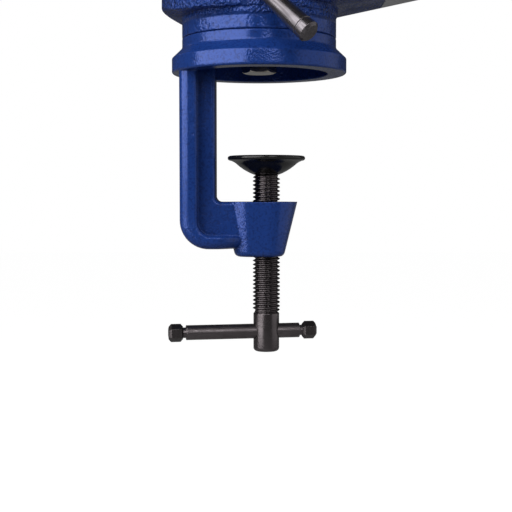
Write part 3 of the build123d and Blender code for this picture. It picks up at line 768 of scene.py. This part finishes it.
BLUE = CastEnamel("blue_enamel")
BLUE_BODY = CastEnamel(
    "blue_enamel_bare_anvil",
    grain_depth=0.0016,
    pebbles=850.0,
    calm_below=0.0205,
    bare=BareZone(start=0.0520, lean=0.12),
)
BLUE_JAW = CastEnamel("blue_enamel_bare_slide", bare=BareZone(start=-0.0350))
BLACKENED = WorkedSteel(
    "blackened_steel", (0.14, 0.124, 0.13), (0.08, 0.07, 0.073), (0.26, 0.235, 0.24), 0.19
)
BLACKENED_BAR = WorkedSteel(
    "blackened_bar", (0.18, 0.16, 0.168), (0.1, 0.088, 0.092), (0.28, 0.255, 0.26), 0.28, Along.X, drawn=0.5
)
BLACK_KNOB = WorkedSteel(
    "blackened_knob", (0.1, 0.09, 0.092), (0.06, 0.054, 0.055), (0.22, 0.2, 0.2), 0.32, Along.X
)
BLACK_CAP = GlossEnamel("black_cap_enamel", (0.007, 0.007, 0.007), (0.03, 0.03, 0.03))
ZINC = WorkedSteel("zinc_plate", (0.6, 0.57, 0.53), (0.42, 0.38, 0.34), (0.72, 0.7, 0.68), 0.12)
ZINC_LEVER = WorkedSteel(
    "zinc_lever",
    (0.2, 0.185, 0.2),
    (0.09, 0.082, 0.088),
    (0.36, 0.335, 0.355),
    0.22,
    Along.LEVER,
    1500.0,
    drawn=0.8,
)
GROUND = WorkedSteel("ground_steel", (0.5, 0.5, 0.51), (0.4, 0.39, 0.38), (0.66, 0.66, 0.67), 0.26, Along.Y)
GROUND_SPINDLE = WorkedSteel(
    "turned_spindle", (0.48, 0.475, 0.47), (0.36, 0.34, 0.32), (0.62, 0.62, 0.62), 0.28, Along.X
)
GREY_IRON = WorkedSteel("grey_iron", (0.22, 0.215, 0.21), (0.14, 0.135, 0.13), (0.4, 0.4, 0.4), 0.42)
BRASS = WorkedSteel("brass", (0.72, 0.52, 0.22), (0.5, 0.34, 0.14), (0.85, 0.68, 0.36), 0.3, Along.X)


class Workshop:
    """Mesh work that the pieces share."""

    @staticmethod
    def settle(shape: bmesh.types.BMesh, place: Matrix) -> None:
        """Welds a shape's seams, turns its faces outwards and moves it.

        Args:
            shape: The shape.
            place: Where it goes in the frame.
        """
        bmesh.ops.remove_doubles(shape, verts=shape.verts, dist=WELD)
        bmesh.ops.dissolve_degenerate(shape, edges=shape.edges, dist=WELD)
        bmesh.ops.recalc_face_normals(shape, faces=shape.faces)
        shape.transform(place)

    @staticmethod
    def join(piece: bpy.types.Object, shape: bmesh.types.BMesh) -> None:
        """Adds a shape to a piece.

        Args:
            piece: The piece.
            shape: The shape to add, which is used up.
        """
        spare = bpy.data.meshes.new("spare")
        shape.to_mesh(spare)
        shape.free()
        both = bmesh.new()
        both.from_mesh(piece.data)
        both.from_mesh(spare)
        both.to_mesh(piece.data)
        both.free()
        bpy.data.meshes.remove(spare)

    @staticmethod
    def piece(name: str, shape: bmesh.types.BMesh, place: Matrix) -> bpy.types.Object:
        """Makes an object from a shape.

        Args:
            name: The object's name.
            shape: The shape, which is used up.
            place: Where it goes in the frame.

        Returns:
            The new object, with its place in its vertices.
        """
        Workshop.settle(shape, place)
        mesh = bpy.data.meshes.new(name)
        shape.to_mesh(mesh)
        shape.free()
        made = bpy.data.objects.new(name, mesh)
        bpy.context.scene.collection.objects.link(made)
        return made

    @staticmethod
    def smooth(piece: bpy.types.Object, angle: float = 32.0) -> None:
        """Shades a piece smoothly between its creases.

        Args:
            piece: The piece.
            angle: How far two faces turn at a crease, in degrees.
        """
        for face in piece.data.polygons:
            face.use_smooth = True
        piece.data.set_sharp_from_angle(angle=math.radians(angle))

    @staticmethod
    def lathe(shape: bmesh.types.BMesh, outline: Sequence[Point], steps: int) -> None:
        """Turns an outline about Z.

        Args:
            shape: The shape to add to.
            outline: (radius, height) points, from one end on the axis to the other.
            steps: How many steps the turn has.
        """
        rings = []
        for radius, height in outline:
            count = 1 if radius == 0.0 else steps
            ring = []
            for step in range(count):
                turn = math.tau * step / steps
                ring.append(shape.verts.new((radius * math.cos(turn), radius * math.sin(turn), height)))
            rings.append(ring)
        for lower, upper in zip(rings, rings[1:]):
            for step in range(steps):
                after = (step + 1) % steps
                corners = [
                    lower[step % len(lower)],
                    lower[after % len(lower)],
                    upper[after % len(upper)],
                    upper[step % len(upper)],
                ]
                shape.faces.new(list(dict.fromkeys(corners)))

    @staticmethod
    def arc(centre: Point, radius: float, start: float, end: float, steps: int) -> list[Point]:
        """Works out points on an arc.

        Args:
            centre: Its centre as (radius, height).
            radius: Its own radius.
            start: First angle in degrees.
            end: Last angle in degrees.
            steps: How many points it has, less one.

        Returns:
            The points as (radius, height).
        """
        points = []
        for step in range(steps + 1):
            turn = math.radians(start + (end - start) * step / steps)
            points.append((centre[0] + radius * math.cos(turn), centre[1] + radius * math.sin(turn)))
        return points

    @staticmethod
    def cut(piece: bpy.types.Object, cutter: bpy.types.Object) -> None:
        """Cuts one piece with another, which is then gone.

        Args:
            piece: The piece to cut.
            cutter: The shape to take out of it.
        """
        change = piece.modifiers.new("cut", "BOOLEAN")
        change.operation = "DIFFERENCE"
        change.solver = "EXACT"
        change.object = cutter
        sight = bpy.context.evaluated_depsgraph_get()
        result = bpy.data.meshes.new_from_object(piece.evaluated_get(sight))
        piece.modifiers.clear()
        piece.data = result
        bpy.data.objects.remove(cutter)

    @staticmethod
    def dress(node: str, finish: Finish) -> None:
        """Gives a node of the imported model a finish."""
        Workshop.coat(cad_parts[node], finish)
        LOG.info("%s keeps its solid in %s", node, finish.name)

    @staticmethod
    def coat(piece: bpy.types.Object, finish: Finish) -> None:
        """Gives a piece a finish."""
        piece.data.materials.clear()
        piece.data.materials.append(finish.material())


@dataclass(frozen=True)
class ThreadForm:
    """A right-hand thread.

    Attributes:
        crest: Radius over its crests.
        depth: Depth of its grooves.
        pitch: Advance in one turn.
        crest_share: Share of the pitch that is flat crest.
        root_share: Share of the pitch that is flat root.
    """

    crest: float
    depth: float
    pitch: float
    crest_share: float = 0.16
    root_share: float = 0.2

    def profile(self) -> list[Point]:
        """Draws one pitch of the outline.

        Returns:
            Its points as (share of pitch, radius).
        """
        flank = (1.0 - self.crest_share - self.root_share) / 2
        root = self.crest - self.depth
        return [
            (0.0, root),
            (self.root_share, root),
            (self.root_share + flank, self.crest),
            (self.root_share + flank + self.crest_share, self.crest),
            (1.0, root),
        ]

    def cut(self, shape: bmesh.types.BMesh, low: float, high: float, lead: float, steps: int) -> None:
        """Winds the thread about Z.

        Args:
            shape: The shape to add to.
            low: Height where it starts.
            high: Height where it ends.
            lead: How fast both ends run out, as radius over height.
            steps: How many steps a turn has.
        """
        root = self.crest - self.depth
        turns = math.ceil((high - low) / self.pitch) + 1
        rows = []
        for step in range(turns * steps + 1):
            turn = math.tau * step / steps
            row = []
            for share, radius in self.profile():
                height = low + self.pitch * (step / steps + share - 1.0)
                height = min(max(height, low), high)
                radius = min(radius, root + lead * min(height - low, high - height))
                row.append(shape.verts.new((radius * math.cos(turn), radius * math.sin(turn), height)))
            rows.append(row)
        for before, after in zip(rows, rows[1:]):
            for k in range(len(before) - 1):
                shape.faces.new((before[k], after[k], after[k + 1], before[k + 1]))


@dataclass
class ClampFrame:
    """The base ring and C-shaped clamp arm, one casting."""

    node: str = "clamp_frame"

    def dress(self) -> None:
        """Paints the casting."""
        Workshop.dress(self.node, BLUE)


@dataclass
class ClampScrew:
    """The clamp screw with a true thread, its round cap and its sliding bar.

    Attributes:
        thread: The screw's thread.
        thread_lead: How fast the thread's ends run out, as radius over height.
        thread_length: Length of the thread.
        head_radius: Radius of the plain head that the bar passes through.
        head_length: Length of that head.
        head_round: Radius of its lower edge.
        head_bevel: Bevel of its upper edge.
        ball_radius: Radius of the ball that the cap sits on.
        ball_end: Where the ball's arc ends, in degrees above the level.
        neck_radius: Radius of the neck under the ball.
        hole_radius: Radius of the bar's hole.
        bar_drop: Distance of the hole from the head's upper end.
        turn_steps: How many steps a turn has.
        drill_steps: How many steps the hole has.
        round_steps: How many steps the head's lower edge has.
        ball_steps: How many steps the ball's arc has.
        low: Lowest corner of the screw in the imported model.
        high: Its highest corner.
    """

    thread: ThreadForm = ThreadForm(crest=0.006, depth=0.00107, pitch=0.00175)
    thread_lead: float = 0.9
    thread_length: float = 0.0607
    head_radius: float = 0.0057
    head_length: float = 0.0172
    head_round: float = 0.0015
    head_bevel: float = 0.0004
    ball_radius: float = 0.0043
    ball_end: float = 84.0
    neck_radius: float = 0.0032
    hole_radius: float = 0.00345
    bar_drop: float = 0.0083
    turn_steps: int = 56
    drill_steps: int = 40
    round_steps: int = 6
    ball_steps: int = 14
    low: Vector = field(default_factory=lambda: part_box("clamp_screw")[0])
    high: Vector = field(default_factory=lambda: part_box("clamp_screw")[1])

    @property
    def axis_x(self) -> float:
        """Returns where the screw's axis is."""
        return (self.low.x + self.high.x) / 2

    @property
    def head_top(self) -> float:
        """Returns the height of the head's upper end."""
        return self.low.z + self.head_length

    @property
    def thread_top(self) -> float:
        """Returns the height where the thread ends."""
        return self.head_top + self.thread_length

    def outline(self) -> list[Point]:
        """Draws the screw's half section without its thread.

        Returns:
            The points as (radius, height), from its lower end to its upper one.
        """
        bottom = self.low.z
        ball = self.high.z - self.ball_radius
        root = self.thread.crest - self.thread.depth
        meet = math.degrees(math.asin(self.neck_radius / self.ball_radius))
        corner = (self.head_radius - self.head_round, bottom + self.head_round)
        points = [(0.0, bottom)]
        points += Workshop.arc(corner, self.head_round, -90.0, 0.0, self.round_steps)
        points.append((self.head_radius, self.head_top - self.head_bevel))
        points.append((self.head_radius - self.head_bevel, self.head_top))
        points += [(root, self.head_top), (root, self.thread_top), (self.neck_radius, self.thread_top)]
        points += Workshop.arc((0.0, ball), self.ball_radius, meet - 90.0, self.ball_end, self.ball_steps)
        points.append((0.0, self.high.z))
        return points

    def build(self) -> bpy.types.Object:
        """Makes the screw.

        Returns:
            The screw as one piece on its body.
        """
        place = Matrix.Translation((self.axis_x, 0.0, 0.0))
        core = bmesh.new()
        Workshop.lathe(core, self.outline(), self.turn_steps)
        piece = Workshop.piece("clamp_screw_turned", core, place)
        Workshop.cut(piece, self.drill())
        wound = bmesh.new()
        self.thread.cut(wound, self.head_top, self.thread_top, self.thread_lead, self.turn_steps)
        Workshop.settle(wound, place)
        Workshop.join(piece, wound)
        Workshop.smooth(piece)
        Workshop.coat(piece, BLACKENED)
        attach(piece, "clamp_screw")
        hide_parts("clamp_screw")
        LOG.info("%s has %d faces", piece.name, len(piece.data.polygons))
        return piece

    def drill(self) -> bpy.types.Object:
        """Makes the drill for the cross hole.

        Returns:
            A cylinder along the sliding bar.
        """
        low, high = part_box("clamp_bar")
        ends = high - low
        turn = math.atan2(ends.y - 2 * self.hole_radius, ends.x)
        reach = self.head_radius * 2
        radius = self.hole_radius
        shape = bmesh.new()
        rod = [(0.0, -reach), (radius, -reach), (radius, reach), (0.0, reach)]
        Workshop.lathe(shape, rod, self.drill_steps)
        lay = Matrix.Rotation(turn, 4, "Z") @ Matrix.Rotation(math.radians(90.0), 4, "Y")
        place = Matrix.Translation((self.axis_x, 0.0, self.head_top - self.bar_drop))
        return Workshop.piece("drill", shape, place @ lay)

    def dress(self) -> None:
        """Makes the screw and finishes the cap and the bar."""
        self.build()
        Workshop.dress("clamp_pad", BLACK_CAP)
        Workshop.dress("clamp_bar", BLACKENED_BAR)
        Workshop.dress("clamp_bar_knobs", BLACK_KNOB)


@dataclass
class PivotBolt:
    """The bolt and washers under the base."""

    nodes: tuple[str, ...] = ("pivot_bolt", "pivot_washer", "pivot_spring_washer")

    def dress(self) -> None:
        """Plates the bolt and its washers."""
        for node in self.nodes:
            Workshop.dress(node, ZINC)


@dataclass
class ViseHead:
    """The body casting with the fixed jaw, the gib and the nut."""

    def dress(self) -> None:
        """Paints the body and finishes what is fixed to it."""
        Workshop.dress("vise_body", BLUE_BODY)
        Workshop.dress("fixed_jaw_plate", GROUND)
        Workshop.dress("fixed_jaw_screws", BLACKENED)
        Workshop.dress("spindle_nut", GREY_IRON)
        Workshop.dress("gib_strip", BRASS)
        Workshop.dress("gib_screws", BLACKENED)
        Workshop.dress("gib_lock_nuts", ZINC)


@dataclass
class SwivelLock:
    """The lock lever and its brass plug."""

    def dress(self) -> None:
        """Plates the lever and leaves the plug in brass."""
        Workshop.dress("lock_lever", ZINC_LEVER)
        Workshop.dress("lock_plug", BRASS)


@dataclass
class MovingJaw:
    """The moving jaw and its plate."""

    def dress(self) -> None:
        """Paints the jaw, with its slide left as ground metal."""
        Workshop.dress("moving_jaw", BLUE_JAW)
        Workshop.dress("moving_jaw_plate", GROUND)
        Workshop.dress("moving_jaw_screws", BLACKENED)


@dataclass
class Spindle:
    """The main spindle, its bearing pieces and its handle."""

    def dress(self) -> None:
        """Finishes the spindle and the handle."""
        Workshop.dress("spindle", GROUND_SPINDLE)
        Workshop.dress("spindle_washer", ZINC)
        Workshop.dress("spindle_collar", BLACKENED)
        Workshop.dress("spindle_collar_pin", GROUND)
        Workshop.dress("spindle_handle", ZINC)
        Workshop.dress("spindle_handle_knobs", ZINC)


@dataclass(frozen=True)
class Lamp:
    """A soft lamp that looks at the object.

    Attributes:
        kind: The part it plays.
        bearing: Where it stands, in degrees to the right of the camera.
        lift: How high it stands, in degrees above the level.
        width: Width of its face.
        height: Height of its face.
        glow: Brightness of its face, where 1 shows as white.
        away: How far it stands from its aim.
        aim: Where it looks.
        shines: Whether it lights surfaces, or is only seen mirrored in them.
    """

    kind: LightKind
    bearing: float
    lift: float
    width: float
    height: float
    glow: float
    away: float = 1.0
    aim: tuple[float, float, float] = (0.0, 0.0, -0.02)
    shines: bool = True

    def light(self) -> bpy.types.Object:
        """Makes the lamp.

        Returns:
            The lamp's object.
        """
        data = bpy.data.lights.new(self.kind.value, "AREA")
        data.shape = "RECTANGLE"
        data.size = self.width
        data.size_y = self.height
        data.energy = math.pi * self.width * self.height * self.glow
        lamp = bpy.data.objects.new(self.kind.value, data)
        turn = math.radians(self.bearing)
        rise = math.radians(self.lift)
        level = math.cos(rise)
        way = Vector((math.sin(turn) * level, -math.cos(turn) * level, math.sin(rise)))
        lamp.location = Vector(self.aim) + way * self.away
        lamp.rotation_euler = way.to_track_quat("Z", "Y").to_euler()
        lamp.visible_diffuse = self.shines
        bpy.context.scene.collection.objects.link(lamp)
        return lamp


@dataclass(frozen=True)
class PhotoCamera:
    """The camera at the photograph's viewpoint.

    Attributes:
        place: Where it stands.
        focal_px: Its focal length in pixels.
        frame_px: Width and height of the picture in pixels.
        axis_px: The pixel that the level line of sight along +Y falls on.
        sensor: Width of the sensor in millimetres.
        near: Distance of the nearest thing that is drawn.
    """

    place: tuple[float, float, float] = (0.0, -0.463, -0.0511)
    focal_px: float = 1050.0
    frame_px: float = 512.0
    axis_px: Point = (259.1, 191.8)
    sensor: float = 36.0
    near: float = 0.01

    def set_up(self) -> bpy.types.Object:
        """Makes the scene's camera.

        Returns:
            The camera's object.
        """
        data = bpy.data.cameras.new("photo_camera")
        data.sensor_width = self.sensor
        data.lens = self.sensor * self.focal_px / self.frame_px
        data.clip_start = self.near
        camera = bpy.data.objects.new("photo_camera", data)
        pitch = math.atan2(self.axis_px[1] - self.frame_px / 2, self.focal_px)
        yaw = math.atan2(self.axis_px[0] - self.frame_px / 2, self.focal_px)
        level = Matrix.Rotation(math.radians(90.0), 4, "X")
        tilt = Matrix.Rotation(pitch, 4, "X")
        swing = Matrix.Rotation(yaw, 4, "Z")
        camera.matrix_world = Matrix.Translation(self.place) @ swing @ level @ tilt
        bpy.context.scene.collection.objects.link(camera)
        bpy.context.scene.camera = camera
        return camera


@dataclass(frozen=True)
class Studio:
    """Floor, backdrop light and lamps.

    Attributes:
        floor_drop: How far the floor lies under the object, which hangs free as on a table's edge.
        floor_half: Half of the floor's width.
        floor_colour: The floor as a matt surface.
        floor_glow: What the camera sees of the floor besides.
        floor_mirror: What shiny surfaces see of it besides.
        ambient: The backdrop as a light.
        beside_object: The backdrop's mirror image at the sides.
        behind_object: The same straight behind the object.
        behind_camera: The same behind the camera.
        side_edges: Where the image goes over from the camera's side, as a share of depth.
        card_edges: Where it goes over to the dark card behind the object.
        lamps: The lamps.
    """

    floor_drop: float = 0.3
    floor_half: float = 6.0
    floor_colour: Colour = (0.2, 0.2, 0.2)
    floor_glow: float = 0.94
    floor_mirror: float = 0.1
    ambient: float = 0.27
    beside_object: float = 0.08
    behind_object: float = 0.04
    behind_camera: float = 0.06
    side_edges: Point = (-0.35, 0.3)
    card_edges: Point = (0.6, 0.9)
    lamps: tuple[Lamp, ...] = (
        Lamp(LightKind.KEY, bearing=-52.0, lift=28.0, width=1.45, height=1.1, glow=3.4),
        Lamp(LightKind.FILL, bearing=85.0, lift=12.0, width=1.4, height=1.1, glow=0.5),
        Lamp(LightKind.FRONT, bearing=18.0, lift=24.0, width=0.35, height=0.5, glow=3.0),
        Lamp(LightKind.LOW, bearing=-53.0, lift=-12.7, width=0.85, height=0.13, glow=4.5, shines=False),
    )

    def set_up(self, bottom: float) -> None:
        """Makes the floor, the world and the lamps.

        Args:
            bottom: Height of the object's lowest point.
        """
        self.floor(bottom - self.floor_drop)
        self.world()
        for lamp in self.lamps:
            lamp.light()
        bpy.context.scene.view_settings.view_transform = "Standard"

    def floor(self, height: float) -> None:
        """Makes the pale floor.

        Args:
            height: Its height in the frame.
        """
        shape = bmesh.new()
        bmesh.ops.create_grid(shape, x_segments=1, y_segments=1, size=self.floor_half)
        floor = Workshop.piece("studio_floor", shape, Matrix.Translation((0.0, 0.0, height)))
        material = bpy.data.materials.new("studio_floor")
        material.use_nodes = True
        material.node_tree.nodes.clear()
        graph = Graph(material.node_tree)
        matt = graph.add("ShaderNodeBsdfDiffuse", {"Color": (*self.floor_colour, 1.0)})
        path = graph.add("ShaderNodeLightPath").outputs
        mirrored = graph.math("MULTIPLY", self.mirrored(graph), self.floor_mirror)
        shown = graph.math("MULTIPLY_ADD", path["Is Camera Ray"], self.floor_glow, mirrored)
        glow = graph.add("ShaderNodeEmission", {"Color": (1.0, 1.0, 1.0, 1.0), "Strength": shown})
        both = graph.add("ShaderNodeAddShader", {0: matt.outputs[0], 1: glow.outputs[0]})
        graph.add("ShaderNodeOutputMaterial", {"Surface": both.outputs[0]})
        floor.data.materials.append(material)
        floor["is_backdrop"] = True

    def mirrored(self, graph: Graph) -> Socket:
        """Marks the mirrored and refracted rays."""
        path = graph.add("ShaderNodeLightPath").outputs
        return graph.math("MAXIMUM", path["Is Glossy Ray"], path["Is Transmission Ray"])

    def world(self) -> None:
        """Makes a white backdrop that is dimmer as a light and as a mirror image.

        Straight behind the object its mirror image is a dark card, so that outlines stay dark.
        """
        world = bpy.data.worlds.new("studio_world")
        world.use_nodes = True
        world.node_tree.nodes.clear()
        graph = Graph(world.node_tree)
        path = graph.add("ShaderNodeLightPath").outputs
        way = graph.add("ShaderNodeTexCoord").outputs["Generated"]
        depth = graph.dot(way, (0.0, 1.0, 0.0))
        image = graph.mix(graph.ramp(depth, *self.side_edges), self.behind_camera, self.beside_object)
        image = graph.mix(graph.ramp(depth, *self.card_edges), image, self.behind_object)
        lit = graph.mix(self.mirrored(graph), self.ambient, image)
        strength = graph.math("MAXIMUM", lit, path["Is Camera Ray"])
        back = graph.add("ShaderNodeBackground", {"Color": (1.0, 1.0, 1.0, 1.0), "Strength": strength})
        graph.add("ShaderNodeOutputWorld", {"Surface": back.outputs[0]})
        bpy.context.scene.world = world


def main() -> None:
    """Builds and dresses each sub-assembly, then the studio and the camera."""
    logging.basicConfig(level=logging.INFO)
    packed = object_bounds()
    for assembly in (ClampFrame, ClampScrew, PivotBolt, ViseHead, SwivelLock, MovingJaw, Spindle):
        assembly().dress()
        LOG.info("%s is dressed", assembly.__name__)
    Studio().set_up(packed[0].z)
    PhotoCamera().set_up()


if __name__ == "__main__":
    main()
